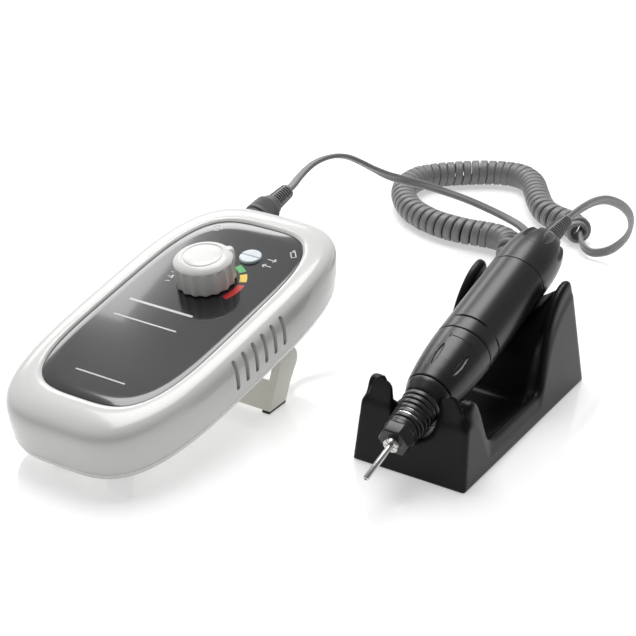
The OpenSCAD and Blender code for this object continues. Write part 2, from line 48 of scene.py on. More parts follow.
# ---------- places shared with the CAD, in millimetres ----------
UNIT_ORIGIN = np.array([-45.0, -15.0, 40.5])
PANEL_TILT = math.radians(10.25)
HAND_END = np.array([63.0, 93.0, 54.1])
HAND_TILT = math.radians(15.3)
CRADLE = np.array([63.0, 34.0, 0.0])
CASE_W, CASE_L = 41.2, 79.0
PANEL_W, PANEL_L = 30.4, 63.3
SEAM, BELLY = 18.6, 22.0
KNOB = (0.0, 20.2)
KNOB_R, KNOB_H = 12.4, 12.6
ROCKER = (7.2, 41.7)
ROCKER_R = 4.7
MOTOR_X, SOCKET_DEPTH, WALL_L = -16.5, 9.0, 76.4
LEAD_D, COIL_D = 4.2, 13.2

LEAD_ROUTE = [
    (-61.5, 89.8, 50.4), (-61.8, 94.6, 51.2), (-62.6, 100, 52.3), (-63, 105, 53.4), (-62.7, 110, 54.8),
    (-61.5, 114.8, 56), (-59.6, 119.6, 56.6), (-56.8, 124, 56.6), (-53, 128, 55.4), (-47.8, 131, 52.8),
    (-42.6, 134.4, 49.4), (-38, 139.8, 45.4), (-33.6, 148.4, 41), (-28.2, 157.8, 36.5), (-21.8, 165.5, 32),
    (-14, 171.3, 28), (-5.5, 175.6, 24), (4.2, 177.6, 20.5), (12.8, 176.8, 18), (18.5, 174, 15),
    (21.2, 169.6, 11.8), (21.2, 164, 9), (19.6, 159, 7.2), (16, 156.6, 6.5), (12, 158.6, 6.6),
    (10, 162.6, 6.6), (9.5, 167, 6.6)]
COIL_ROUTE = [
    (9.5, 167, 6.6), (9, 174, 6.6), (5, 180.5, 6.6), (-2, 183.5, 6.6), (-10, 183, 6.6), (-20, 181.5, 6.6),
    (-32, 182, 6.6), (-43, 185, 6.6), (-54, 191, 6.6), (-63, 200, 6.6), (-69.5, 210, 6.6), (-72, 220, 6.6),
    (-71, 230, 6.6), (-65, 239, 6.6), (-56, 247.5, 6.6), (-47, 254.5, 6.6), (-37, 259.5, 6.6),
    (-27, 260, 6.6), (-18, 254, 6.6), (-10.5, 243, 6.6), (-3.5, 232.5, 6.6), (3.5, 224.5, 6.6),
    (11, 220, 6.6), (19, 217.5, 6.6), (25, 214, 6.6), (30, 208, 6.6)]
TAIL_ROUTE = [
    (30, 208, 6.6), (32.6, 203, 5.4), (36, 199.4, 4.2), (40.2, 198, 3.4), (44.8, 198, 4.4), (49.8, 197.2, 7.2),
    (54.8, 194.8, 12), (59.4, 191.4, 18), (63, 186.6, 24.6), (65.4, 181, 31), (66.8, 174, 38),
    (67, 165.6, 44.5), (66.5, 156.3, 50), (65.6, 147.2, 54), (65, 137, 56.6), (64.6, 127, 57.7),
    (63.8, 119.6, 57.3), (63, 113.2, 56.5)]


def unit(p):
    """Panel coordinates (across, along, up from the panel) to the row frame."""
    p = np.asarray(p, float)
    c, s = math.cos(PANEL_TILT), math.sin(PANEL_TILT)
    out = np.empty_like(p)
    out[..., 0] = p[..., 0]
    out[..., 1] = p[..., 1] * c - p[..., 2] * s
    out[..., 2] = p[..., 1] * s + p[..., 2] * c
    return out + UNIT_ORIGIN


def socket(p):
    """Coordinates about the motor socket's axis: z runs out of the far wall."""
    p = np.asarray(p, float)
    return unit(np.stack([MOTOR_X + p[..., 0], p[..., 2], -SOCKET_DEPTH - p[..., 1]], -1))


def hand(p):
    """Handpiece coordinates (x, up, distance from the rear end) to the row frame."""
    p = np.asarray(p, float)
    c, s = math.cos(HAND_TILT), math.sin(HAND_TILT)
    out = np.empty_like(p)
    out[..., 0] = p[..., 0]
    out[..., 1] = -p[..., 1] * s - p[..., 2] * c
    out[..., 2] = p[..., 1] * c - p[..., 2] * s
    return out + HAND_END


def row(p):
    return np.asarray(p, float)


# ---------- camera ----------
camera = bpy.data.objects.new("camera", bpy.data.cameras.new("camera"))
bpy.context.scene.collection.objects.link(camera)
camera.location = Vector((0.3253, -0.4956, 0.3387))
camera.rotation_euler = Vector((-0.4783, 0.7552, -0.4483)).to_track_quat("-Z", "Y").to_euler()
camera.data.sensor_width = 36.0
camera.data.lens = 96.2
camera.data.clip_start = 0.01
bpy.context.scene.camera = camera


# ---------- materials ----------
def nodes_of(name):
    m = bpy.data.materials.new(name)
    m.use_nodes = True
    n = m.node_tree.nodes
    return m, n, m.node_tree.links, n["Principled BSDF"]


def plastic(name, colour, rough=0.3, vary=0.06, grain=900.0, bump=0.02, coat=0.0, coat_rough=0.08, smudge=60.0,
            specular=0.5, metallic=0.0, tint=0.06, edge_highlight=0.0):
    """Moulded plastic, rubber or metal: cloudy colour and roughness, fine surface grain, paler sharp edges as a
    painted edge highlight.
    """
    m, n, link, bsdf = nodes_of(name)
    bsdf.inputs["Metallic"].default_value = metallic
    bsdf.inputs["Specular IOR Level"].default_value = specular
    bsdf.inputs["Coat Weight"].default_value = coat
    bsdf.inputs["Coat Roughness"].default_value = coat_rough
    place = n.new("ShaderNodeTexCoord")
    cloud = n.new("ShaderNodeTexNoise")
    cloud.inputs["Scale"].default_value = smudge
    cloud.inputs["Detail"].default_value = 5
    link.new(place.outputs["Object"], cloud.inputs["Vector"])
    shade = n.new("ShaderNodeMix")
    shade.data_type = "RGBA"
    dark = [c * (1 - tint) for c in colour]
    pale = [min(1.0, c * (1 + tint)) for c in colour]
    shade.inputs["A"].default_value = (*dark, 1)
    shade.inputs["B"].default_value = (*pale, 1)
    link.new(cloud.outputs["Fac"], shade.inputs["Factor"])
    last = shade.outputs["Result"]
    # painted highlight: sharp convex edges, found by pointiness, are mixed toward a paler colour
    if edge_highlight:
        edge = n.new("ShaderNodeNewGeometry")
        curve = n.new("ShaderNodeMapRange")
        curve.inputs["From Min"].default_value = 0.53
        curve.inputs["From Max"].default_value = 0.62
        curve.inputs["To Max"].default_value = edge_highlight
        link.new(edge.outputs["Pointiness"], curve.inputs["Value"])
        edge_highlight_mix = n.new("ShaderNodeMix")
        edge_highlight_mix.data_type = "RGBA"
        edge_highlight_mix.inputs["B"].default_value = (*[min(1.0, c * 1.6 + 0.05) for c in colour], 1)
        link.new(curve.outputs["Result"], edge_highlight_mix.inputs["Factor"])
        link.new(last, edge_highlight_mix.inputs["A"])
        last = edge_highlight_mix.outputs["Result"]
    link.new(last, bsdf.inputs["Base Color"])
    rub = n.new("ShaderNodeMapRange")
    rub.inputs["To Min"].default_value = max(0.02, rough - vary)
    rub.inputs["To Max"].default_value = rough + vary
    link.new(cloud.outputs["Fac"], rub.inputs["Value"])
    link.new(rub.outputs["Result"], bsdf.inputs["Roughness"])
    fine = n.new("ShaderNodeTexNoise")
    fine.inputs["Scale"].default_value = grain
    fine.inputs["Detail"].default_value = 3
    link.new(place.outputs["Object"], fine.inputs["Vector"])
    relief = n.new("ShaderNodeBump")
    relief.inputs["Strength"].default_value = bump
    relief.inputs["Distance"].default_value = 0.0003
    link.new(fine.outputs["Fac"], relief.inputs["Height"])
    link.new(relief.outputs["Normal"], bsdf.inputs["Normal"])
    return m


WHITE = plastic("gloss_white", (0.69, 0.69, 0.675), 0.22, 0.05, 1500, 0.012, 0.35, 0.06, 40, tint=0.015)
KNOB_WHITE = plastic("knob_white", (0.82, 0.82, 0.80), 0.26, 0.05, 1800, 0.02, 0.2, 0.1, 60, tint=0.02)
GLASS = plastic("panel_black", (0.010, 0.010, 0.011), 0.13, 0.03, 2500, 0.004, 0.6, 0.04, 30, tint=0.2)
BUTTON = plastic("button_pale", (0.66, 0.72, 0.76), 0.3, 0.05, 1800, 0.02, 0.2, 0.1, 60, tint=0.02)
IVORY = plastic("stand_ivory", (0.80, 0.78, 0.70), 0.38, 0.06, 1500, 0.03, 0.1, 0.2, 50, tint=0.03)
# the black satin and cradle plastics carry the painted edge highlight on their crests
SATIN = plastic("black_satin", (0.0085, 0.0080, 0.0080), 0.30, 0.012, 2600, 0.02, 0.0, 0.1, 90, specular=0.55,
    tint=0.12, edge_highlight=0.03)
CRADLE_BLACK = plastic("cradle_black", (0.0088, 0.0084, 0.0082), 0.30, 0.05, 2400, 0.03, 0.0, 0.1, 70,
    specular=0.2, tint=0.15, edge_highlight=0.05)
GROOVE = plastic("groove_black", (0.006, 0.006, 0.006), 0.6, 0.05, 1500, 0.05)
CORD_GREY = plastic("cord_grey", (0.205, 0.205, 0.208), 0.42, 0.06, 2200, 0.05, 0.0, 0.1, 120, tint=0.10)
PLUG_GREY = plastic("plug_grey", (0.12, 0.12, 0.123), 0.45, 0.06, 2000, 0.06, 0.0, 0.1, 120, tint=0.10)
BOOT_GREY = plastic("boot_grey", (0.19, 0.19, 0.193), 0.45, 0.05, 2000, 0.05, 0.0, 0.1, 120, tint=0.08)
RUBBER = plastic("foot_rubber", (0.03, 0.03, 0.031), 0.7, 0.08, 1500, 0.1, tint=0.2)
STEEL = plastic("bright_steel", (0.62, 0.61, 0.60), 0.2, 0.07, 1800, 0.03, metallic=1.0, tint=0.05, smudge=150)
PRINT = plastic("print_pale", (0.62, 0.62, 0.62), 0.4, 0.05, 2000, 0.02, tint=0.03)
PRINT_GREEN = plastic("print_green", (0.03, 0.36, 0.08), 0.35, 0.05, 2000, 0.02, tint=0.05)
PRINT_YELLOW = plastic("print_yellow", (0.80, 0.55, 0.03), 0.35, 0.05, 2000, 0.02, tint=0.05)
PRINT_RED = plastic("print_red", (0.62, 0.02, 0.02), 0.35, 0.05, 2000, 0.02, tint=0.05)
BOARD = plastic("board_green", (0.012, 0.11, 0.035), 0.35, 0.06, 800, 0.05, tint=0.1)
DARK = plastic("dark_inside", (0.02, 0.02, 0.021), 0.5, 0.06, 900, 0.05, tint=0.1)
CELL = plastic("cell_wrap", (0.04, 0.14, 0.38), 0.25, 0.05, 900, 0.02, tint=0.06)
COPPER = plastic("copper", (0.62, 0.27, 0.12), 0.35, 0.08, 1200, 0.05, metallic=1.0, tint=0.08)
ZINC = plastic("zinc", (0.45, 0.46, 0.47), 0.35, 0.08, 1200, 0.05, metallic=1.0, tint=0.08)
CREAM = plastic("brush_block", (0.78, 0.73, 0.62), 0.5, 0.06, 900, 0.05, tint=0.04)


# ---------- mesh making ----------
def make(name, points, faces, material, body, sharp=32.0, to=row, replaces=()):
    """A piece from points in millimetres; edges sharper than sharp degrees stay crisp."""
    mesh = bpy.data.meshes.new(name)
    mesh.from_pydata([tuple(v) for v in to(np.asarray(points, float)) * MM], [], [tuple(f) for f in faces])
    finish_mesh(mesh, sharp)
    mesh.materials.append(material)
    piece = bpy.data.objects.new(name, mesh)
    bpy.context.scene.collection.objects.link(piece)
    if body:
        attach(piece, body)
    if replaces:
        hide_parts(*replaces)
    return piece


def finish_mesh(mesh, sharp):
    bm = bmesh.new()
    bm.from_mesh(mesh)
    bmesh.ops.remove_doubles(bm, verts=bm.verts, dist=1e-7)
    bmesh.ops.recalc_face_normals(bm, faces=bm.faces)
    limit = math.radians(sharp)
    for f in bm.faces:
        f.smooth = True
    for e in bm.edges:
        e.smooth = not (e.is_manifold and e.calc_face_angle(0) > limit)
    bm.to_mesh(mesh)
    bm.free()


def grid(rings, closed=True, caps=(True, True), loop=False):
    """Faces over rings of equal length; returns (points, faces)."""
    rings = np.asarray(rings, float)
    n, c = rings.shape[:2]
    faces = []
    for j in range(n if loop else n - 1):
        a, b = j * c, (j + 1) % n * c
        for i in range(c if closed else c - 1):
            k = (i + 1) % c
            faces.append((a + i, a + k, b + k, b + i))
    if caps[0]:
        faces.append(tuple(range(c - 1, -1, -1)))
    if caps[1]:
        faces.append(tuple((n - 1) * c + i for i in range(c)))
    return rings.reshape(-1, 3), faces


def lathe(profile, steps=160, relief=None, caps=(True, True)):
    """Rings about z from (z, r) pairs; relief(angle, z, r) gives the depth taken off."""
    t = np.linspace(0, 2 * math.pi, steps, endpoint=False)
    rings = []
    for z, r in profile:
        rr = np.full(steps, float(r))
        if relief is not None:
            rr = rr - relief(t, z, r)
        rings.append(np.stack([rr * np.cos(t), rr * np.sin(t), np.full(steps, float(z))], 1))
    return grid(rings, True, caps)


def refine(profile, step):
    """The same profile with more points, straight between its corners."""
    out = []
    for (z0, r0), (z1, r1) in zip(profile, profile[1:]):
        n = max(1, int(math.ceil(math.hypot(z1 - z0, r1 - r0) / step)))
        out += [(z0 + (z1 - z0) * i / n, r0 + (r1 - r0) * i / n) for i in range(n)]
    return out + [profile[-1]]


def smooth_step(x):
    x = np.clip(x, 0, 1)
    return x * x * (3 - 2 * x)


def window(x, low, high, soft):
    """1 between low and high, falling to 0 over soft at each end."""
    return smooth_step((x - low) / soft) * smooth_step((high - x) / soft)


def turn_gap(t, centre):
    """Signed angle from centre, between -pi and pi."""
    return (t - centre + math.pi) % (2 * math.pi) - math.pi


def spline(points, step):
    """A smooth line through the points, at an even spacing of about step."""
    p = np.asarray(points, float)
    ext = np.vstack([2 * p[0] - p[1], p, 2 * p[-1] - p[-2]])
    fine = []
    for i in range(1, len(ext) - 2):
        a, b, c, d = ext[i - 1:i + 3]
        for u in np.linspace(0, 1, 24, endpoint=False):
            fine.append(0.5 * (2 * b + (c - a) * u + (2 * a - 5 * b + 4 * c - d) * u * u
                               + (3 * b - a - 3 * c + d) * u ** 3))
    fine = np.array(fine + [p[-1]])
    s = np.concatenate([[0], np.cumsum(np.linalg.norm(np.diff(fine, axis=0), axis=1))])
    even = np.linspace(0, s[-1], int(round(s[-1] / step)) + 1)
    return np.stack([np.interp(even, s, fine[:, k]) for k in range(3)], 1)


def frames(path, first=(0.0, 0.0, 1.0)):
    """Tangents and two side directions that turn as little as possible along the path."""
    t = np.gradient(path, axis=0)
    t /= np.linalg.norm(t, axis=1)[:, None]
    side = np.cross(t[0], first)
    side /= np.linalg.norm(side)
    sides = []
    for k in t:
        side = side - k * side.dot(k)
        side /= np.linalg.norm(side)
        sides.append(side)
    sides = np.array(sides)
    return t, sides, np.cross(sides, t)


def twin_section(width, thick, steps=11):
    """Outline of a flat twin cord: two round lobes side by side."""
    r = thick / 2
    off = width / 2 - r
    a = np.radians(np.linspace(-118, 118, steps))
    right = np.stack([off + r * np.cos(a), r * np.sin(a)], 1)
    return np.vstack([right, -right])


def sweep(path, across, up, section, caps=(True, True)):
    u, v = section[None, :, 0, None], section[None, :, 1, None]
    rings = path[:, None, :] + u * across[:, None, :] + v * up[:, None, :]
    return grid(rings, True, caps)


def length_of(path):
    return float(np.linalg.norm(np.diff(path, axis=0), axis=1).sum()) * MM


# ---------- cords ----------
def flat_cord(name, route, node, twist):
    path = spline(route, 1.0)
    _, side, up = frames(path)
    s = np.linspace(0, 1, len(path))
    a = np.radians(np.interp(s, [k[0] for k in twist], [k[1] for k in twist]))[:, None]
    across = side * np.cos(a) + up * np.sin(a)
    rise = -side * np.sin(a) + up * np.cos(a)
    points, faces = sweep(path, across, rise, twin_section(LEAD_D, 2.2))
    piece = make(name, points, faces, CORD_GREY, None, 60, replaces=(node,))
    return piece, path


lead, lead_path = flat_cord("flat_lead", LEAD_ROUTE, "lead_cord", [(0, 10), (0.3, 40), (0.42, 130),
    (0.55, 165), (1, 150)])
tail, tail_path = flat_cord("flat_tail", TAIL_ROUTE, "tail_cord", [(0, 70), (0.3, 150), (0.7, 175), (1, 175)])


def coil():
    pitch, turn_steps = 4.45, 26
    line = spline(COIL_ROUTE, 0.5)
    total = length_of(line) / MM
    turns = total / pitch
    count = int(turns * turn_steps)
    s = np.linspace(0, total, count)
    base = np.linspace(0, total, len(line))
    t, side, up = frames(line)
    pick = lambda v: np.stack([np.interp(s, base, v[:, k]) for k in range(3)], 1)
    centre, along, a1, a2 = pick(line), pick(t), pick(side), pick(up)
    along /= np.linalg.norm(along, axis=1)[:, None]
    phi = 2 * math.pi * s / pitch
    rng = np.random.default_rng(4)
    wobble = np.interp(s, np.linspace(0, total, 60), rng.normal(0, 0.10, 60))
    ends = smooth_step(s / (0.8 * pitch)) * smooth_step((total - s) / (0.8 * pitch))
    radius = (COIL_D / 2 - 1.1 + wobble * 0.5 - 0.12) * (0.12 + 0.88 * ends)
    out = a1 * np.cos(phi)[:, None] + a2 * np.sin(phi)[:, None]
    path = centre + out * radius[:, None]
    section = twin_section(4.1, 2.1, 9)
    points, faces = sweep(path, along, out, section)
    piece = make("coil_cord", points, faces, CORD_GREY, "base", 60, replaces=("curly_cord",))
    return piece, path


curl, curl_path = coil()
tail_path = tail_path[::-1]
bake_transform(lead)
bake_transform(tail)


# ---------- control unit ----------
STEPS = 288


def outline(a, b, e, flare, o, z):
    t = np.linspace(0, 2 * math.pi, STEPS, endpoint=False)
    power = lambda c, k: np.sign(c) * np.abs(c) ** (2 / k)
    y = power(np.sin(t), e[1])
    return np.stack([a * power(np.cos(t), e[0]) * (1 + flare * y), b * y + o, np.full(STEPS, float(z))], 1)


def case_ring(inset, depth):
    return outline(CASE_W - inset, CASE_L - inset, (3.7, 3.4), 0.035, -1.5 - 0.08 * depth, -depth)


def panel_ring(grow, depth):
    return outline(PANEL_W + grow, PANEL_L + grow, (3.58, 4.0), 0.0, 0.0, -depth)


def rim_ring(t, depth):
    return panel_ring(0.4, depth) * (1 - t) + case_ring(0, depth) * t


def smooth_rings(rings, n):
    """More rings between the given ones, on a smooth line through each point's places."""
    r = np.asarray(rings)
    ext = np.concatenate([[2 * r[0] - r[1]], r, [2 * r[-1] - r[-2]]])
    out = []
    for i in range(1, len(ext) - 2):
        a, b, c, d = ext[i - 1:i + 3]
        for u in np.linspace(0, 1, n, endpoint=False):
            out.append(0.5 * (2 * b + (c - a) * u + (2 * a - 5 * b + 4 * c - d) * u * u + (3 * b - a - 3 * c + d) * u ** 3))
    return out + [r[-1]]


def rounded_slot(width, height, deep, steps=8):
    """Prism along x with a rounded upright outline, centred on the origin."""
    r = width / 2
    top = [(r * math.cos(a), height / 2 - r + r * math.sin(a)) for a in np.linspace(0, math.pi, steps)]
    ring = top + [(-y, -z) for y, z in top]
    rings = [[(x, y, z) for y, z in ring] for x in (-deep / 2, deep / 2)]
    return grid(rings)


def cutter(points, faces, to):
    mesh = bpy.data.meshes.new("cutter")
    mesh.from_pydata([tuple(v) for v in to(points) * MM], [], faces)
    bm = bmesh.new()
    bm.from_mesh(mesh)
    bmesh.ops.recalc_face_normals(bm, faces=bm.faces)
    bm.to_mesh(mesh)
    bm.free()
    tool = bpy.data.objects.new("cutter", mesh)
    bpy.context.scene.collection.objects.link(tool)
    return tool


def carve(piece, tools, sharp=32.0):
    """Takes the tools away from the piece and bakes the result into its mesh."""
    for k, tool in enumerate(tools):
        mod = piece.modifiers.new(f"cut_{k}", "BOOLEAN")
        mod.operation = "DIFFERENCE"
        mod.solver = "EXACT"
        mod.object = tool
    bake(piece, sharp)
    for tool in tools:
        bpy.data.objects.remove(tool)


def bake(piece, sharp=32.0):
    bpy.context.view_layer.update()
    done = bpy.data.meshes.new_from_object(piece.evaluated_get(bpy.context.evaluated_depsgraph_get()))
    piece.modifiers.clear()
    old = piece.data
    piece.data = done
    bpy.data.meshes.remove(old)
    finish_mesh(done, sharp)


def upper_case():
    outer = smooth_rings([
        case_ring(0.95, SEAM - 0.1), case_ring(0.55, 15.5), case_ring(0.1, 11), case_ring(0, 6), rim_ring(0.955, 3.0),
        rim_ring(0.84, 1.1), rim_ring(0.62, -0.25), rim_ring(0.36, -0.85), rim_ring(0.16, -0.95)], 4)
    lip = [rim_ring(0.09, -0.85), rim_ring(0.045, -0.55), panel_ring(0.34, 0.0), panel_ring(0.3, 0.4),
        panel_ring(0.3, 2.0)]
    inner = [panel_ring(-2.6, 2.0), panel_ring(-2.6, 4.0), rim_ring(0.55, 4.0), case_ring(2.6, 7), case_ring(2.0, 10),
             case_ring(2.9, SEAM - 0.1)]
    edge = [case_ring(1.35, SEAM + 0.02)]
    points, faces = grid(edge + outer + lip + inner, True, (False, False), loop=True)
    piece = make("case_top", points, faces, WHITE, "base", 40, unit, ("upper_case",))
    tools = []
    for i in range(6):
        p, f = rounded_slot(2.2, 13.4, 8.0)
        place = lambda q, i=i: unit(q + np.array([CASE_W - 0.6, -19.2 + 6.4 * i, -7.8]))
        tools.append(cutter(p, f, place))
    for x, r in ((MOTOR_X, 6.0), (21.0, 4.5)):
        p, f = lathe([(CASE_L - 10, r), (CASE_L + 10, r)], 48)
        place = lambda q, x=x: unit(np.stack([x + q[:, 0], q[:, 2], -SOCKET_DEPTH - q[:, 1]], 1))
        tools.append(cutter(p, f, place))
    carve(piece, tools, 40)
    return piece


upper_case()


def glass():
    rings = [panel_ring(-3, 2), panel_ring(-0.05, 2), panel_ring(0, 0.35), panel_ring(-0.1, 0.1),
        panel_ring(-0.4, 0.0)]
    rings += [panel_ring(0, 0) * k * np.array([1, 1, 0]) for k in (0.9, 0.6, 0.3, 0.02)]
    points, faces = grid(rings, True, (True, True))
    return make("panel_window", points, faces, GLASS, "base", 40, unit, ("panel_glass",))


glass()


# ---------- printed marks on the panel ----------
def mark(name, strips, material, height=0.05):
    """Flat printed strips: each is a list of (x, l) outline points."""
    points, faces = [], []
    for strip in strips:
        k = len(points)
        points += [(x, y, height) for x, y in strip]
        faces.append(tuple(range(k, k + len(strip))))
    piece = make(name, points, faces, material, "base", 40, unit)
    bpy.context.view_layer.update()
    return piece


def bar(x0, y0, x1, y1, w):
    """A straight stroke with rounded ends."""
    a = math.atan2(y1 - y0, x1 - x0)
    end = lambda x, y, s: [(x + w / 2 * math.cos(a + s + b), y + w / 2 * math.sin(a + s + b))
                           for b in np.linspace(-math.pi / 2, math.pi / 2, 7)]
    return end(x1, y1, 0) + end(x0, y0, math.pi)


def arc_band(cx, cy, r0, r1, a0, a1, n=14):
    a = np.radians(np.linspace(a0, a1, n))
    return [(cx + r0 * math.cos(k), cy + r0 * math.sin(k)) for k in a] + \
        [(cx + r1 * math.cos(k), cy + r1 * math.sin(k)) for k in a[::-1]]


def arc_line(cx, cy, r, a0, a1, w):
    return arc_band(cx, cy, r - w / 2, r + w / 2, a0, a1)


kx, kl = KNOB
mark("scale_green", [arc_band(kx, kl, 13.6, 16.6, 47, 68)], PRINT_GREEN)
mark("scale_yellow", [arc_band(kx, kl, 13.6, 16.6, 20, 41)], PRINT_YELLOW)
mark("scale_red", [arc_band(kx, kl, 13.6, 16.6, -28, 12)], PRINT_RED)
marks = [arc_line(kx, kl, 15.2, a - 4.5, a + 4.5, 0.7) for a in range(82, 214, 22)]
marks += [bar(kx + 15.6 * math.cos(math.radians(a)), kl + 15.6 * math.sin(math.radians(a)),
              kx + 17.2 * math.cos(math.radians(a)), kl + 17.2 * math.sin(math.radians(a)), 0.4)
          for a in range(82, 214, 11)]
# a small rotary symbol by the motor socket's corner, a battery symbol along the far right corner
marks += [arc_line(-19, 55.2, 2.0, 30, 330, 0.45), bar(-17.3, 56.2, -16.6, 54.9, 0.45),
    bar(-19.6, 55.2, -18.4, 55.2, 0.45)]
marks += [bar(20.4, 51.6, 22.9, 48.4, 0.45), bar(22.9, 48.4, 24.4, 49.6, 0.45), bar(24.4, 49.6, 21.9, 52.8, 0.45),
          bar(21.9, 52.8, 20.4, 51.6, 0.45), bar(20.9, 53.0, 21.3, 53.3, 0.8)]
# direction arrows beside the rocker
for y, s in ((43.6, 1), (39.2, -1)):
    marks += [bar(14.6, y, 18.6, y, 0.5), bar(18.6 if s > 0 else 14.6, y, 17.4 if s > 0 else 15.8, y + 1.0, 0.5),
              bar(18.6 if s > 0 else 14.6, y, 17.4 if s > 0 else 15.8, y - 1.0, 0.5)]
# plain bars along the near half of the panel
marks += [bar(-21, -3, 9, -3, 1.3), bar(-21, -14, 9, -14, 0.8), bar(-12, -49.5, 11, -49.5, 0.7)]
mark("pale_marks", marks, PRINT)


# ---------- knob and rocker ----------
def at_knob(p):
    return unit(np.asarray(p) + np.array([KNOB[0], KNOB[1], 0.0]))


def knob_relief(t, z, r):
    scallop = np.cos(8.0 * (t - math.radians(57))) ** 2
    away = smooth_step((np.abs(turn_gap(t, math.radians(57))) - 0.16) / 0.10)
    return 0.75 * (1 - scallop) * away * float(window(z, -1.0, KNOB_H - 1.9, 0.9))


knob_profile = refine([(0.45, KNOB_R - 0.35), (0.7, KNOB_R - 0.1), (1.2, KNOB_R), (KNOB_H - 3.0, KNOB_R)], 0.5) + [
    (KNOB_H - 2.5, KNOB_R - 0.04), (KNOB_H - 2.0, KNOB_R - 0.22), (KNOB_H - 1.5, KNOB_R - 0.62),
    (KNOB_H - 1.0, KNOB_R - 1.2), (KNOB_H - 0.6, KNOB_R - 1.9), (KNOB_H - 0.28, KNOB_R - 2.6),
    (KNOB_H - 0.08, KNOB_R - 3.3), (KNOB_H, 8.85), (KNOB_H - 0.12, 8.6), (KNOB_H - 0.4, 8.4), (KNOB_H - 0.5, 8.15),
    (KNOB_H - 0.4, 7.9), (KNOB_H - 0.12, 7.7), (KNOB_H, 7.45), (KNOB_H + 0.02, 4.0), (KNOB_H + 0.02, 0.6)]
points, faces = lathe(knob_profile, 384, knob_relief)
make("knob_body", points, faces, KNOB_WHITE, "knob", 50, at_knob, ("speed_knob",))


def nib():
    """Rounded pointer that stands out of the knob's upper rim."""
    a = math.radians(57)
    rings = []
    for z, r, off in [(3.0, 0.2, -0.6), (3.4, 1.1, -0.5), (4.6, 1.9, -0.3), (7, 2.3, 0), (9.6, 2.4, 0),
        (10.8, 2.3, 0), (11.6, 1.95, 0),
                      (12.0, 1.4, 0), (12.15, 0.7, 0), (12.2, 0.1, 0)]:
        t = np.linspace(0, 2 * math.pi, 40, endpoint=False)
        c = KNOB_R - 1.3 + off
        rings.append(np.stack([c * math.cos(a) + r * np.cos(t), c * math.sin(a) + r * np.sin(t), np.full(40, z)], 1))
    return grid(rings)


points, faces = nib()
make("knob_pointer", points, faces, KNOB_WHITE, "knob", 50, at_knob)


def rocker():
    t = np.linspace(0, 2 * math.pi, 120, endpoint=False)
    rings = []
    for r, z in [(ROCKER_R, -0.8), (ROCKER_R, 0.7), (ROCKER_R - 0.1, 0.98), (ROCKER_R - 0.3, 1.14),
        (ROCKER_R - 0.6, 1.2)] + \
            [(k, 1.2) for k in np.linspace(3.8, 0.05, 22)]:
        x, y = r * np.cos(t), r * np.sin(t)
        top = z - (0.45 * np.exp(-(y / 0.22) ** 2) + 0.10 * np.exp(-(y / 1.6) ** 2)) * (z > 0.5)
        rings.append(np.stack([x, y, top], 1))
    return grid(rings)


points, faces = rocker()
place = lambda p: unit(np.asarray(p) + np.array([ROCKER[0], ROCKER[1], 0.0]))
make("rocker_cap", points, faces, BUTTON, "rocker", 50, place, ("direction_rocker",))


# ---------- plug and strain reliefs ----------
def slotted(z0, z1, count, depth, spines, width=0.52):
    """Rows of cross slots between lengthwise spines, as on a strain relief."""
    def relief(t, z, r):
        if not z0 < z < z1:
            return np.zeros_like(t)
        u = (z - z0) / (z1 - z0) * count % 1.0
        cut = float(window(u, 0.5 - width / 2 - 0.08, 0.5 + width / 2 + 0.08, 0.16))
        keep = np.zeros_like(t)
        for a in spines:
            keep = np.maximum(keep, 1 - smooth_step((np.abs(turn_gap(t, math.radians(a))) * r - 0.45) / 0.35))
        return depth * cut * (1 - keep)
    return relief


P0 = WALL_L + 3.2
P1 = P0 + 13.0
P2 = P1 + 12.0


def knurl(t, z, r):
    a = np.cos(54 * t + 3.3 * z)
    b = np.cos(54 * t - 3.3 * z)
    return 0.16 * (1 - np.maximum(a, b)) * float(window(z, P0 + 1.2, P1 - 4.2, 0.5))


grip = refine([(P0, 0.5), (P0, 6.0), (P0 + 0.3, 6.3), (P0 + 0.9, 6.5), (P1 - 4.6, 6.35), (P1 - 3.9, 6.2),
    (P1 - 3.4, 5.7)], 0.32) + \
    refine([(P1 - 3.2, 5.2), (P1 - 2.2, 4.9), (P1 - 0.4, 4.75), (P1, 4.5), (P1, 0.5)], 0.4)
points, faces = lathe(grip, 324, knurl)
make("plug_shell", points, faces, PLUG_GREY, "plug", 40, socket, ("plug_grip",))
relief_profile = refine([(P1 - 0.3, 4.1), (P2 - 1.0, 3.45)], 0.16) + [(P2 - 0.5, 3.4), (P2 - 0.15, 3.2),
    (P2, 2.8), (P2, 0.5)]
points, faces = lathe(relief_profile, 144, slotted(P1 + 0.6, P2 - 1.4, 7, 1.0, (0, 90, 180, 270)))
make("plug_boot", points, faces, BOOT_GREY, "plug", 35, socket, ("plug_relief",))


def tail_boot(p):
    p = np.asarray(p, float)
    a = math.radians(9)
    q = p.copy()
    q[..., 1] = p[..., 1] * math.cos(a) + p[..., 2] * math.sin(a)
    q[..., 2] = -p[..., 1] * math.sin(a) + p[..., 2] * math.cos(a)
    return hand(q)


boot = [(-20, 0.5), (-20, 2.3), (-19.8, 2.65), (-19.4, 2.8)] + refine([(-19.3, 2.82), (-2.2, 4.3)],
    0.17) + [(-1.9, 4.4), (0.9, 4.4)]
points, faces = lathe(boot, 144, slotted(-18.9, -2.4, 10, 1.3, (90, 270), 0.56))
make("tail_boot", points, faces, BOOT_GREY, "handpiece", 35, tail_boot, ("tail_relief",))


# ---------- handpiece ----------
def scoops(t, z, r):
    near = np.abs(turn_gap(8 * t, math.radians(8 * 58))) / 8
    half = math.radians(12.5) * math.sqrt(max(0.0, 1 - max(0.0, (z - 4.5) / 8.0) ** 2))
    if half < 0.01:
        return np.zeros_like(t)
    dish = np.clip(1 - (near / half) ** 2, 0, 1) ** 0.55
    return 1.6 * dish * float(window(z, 0.2, 12.8, 1.6))


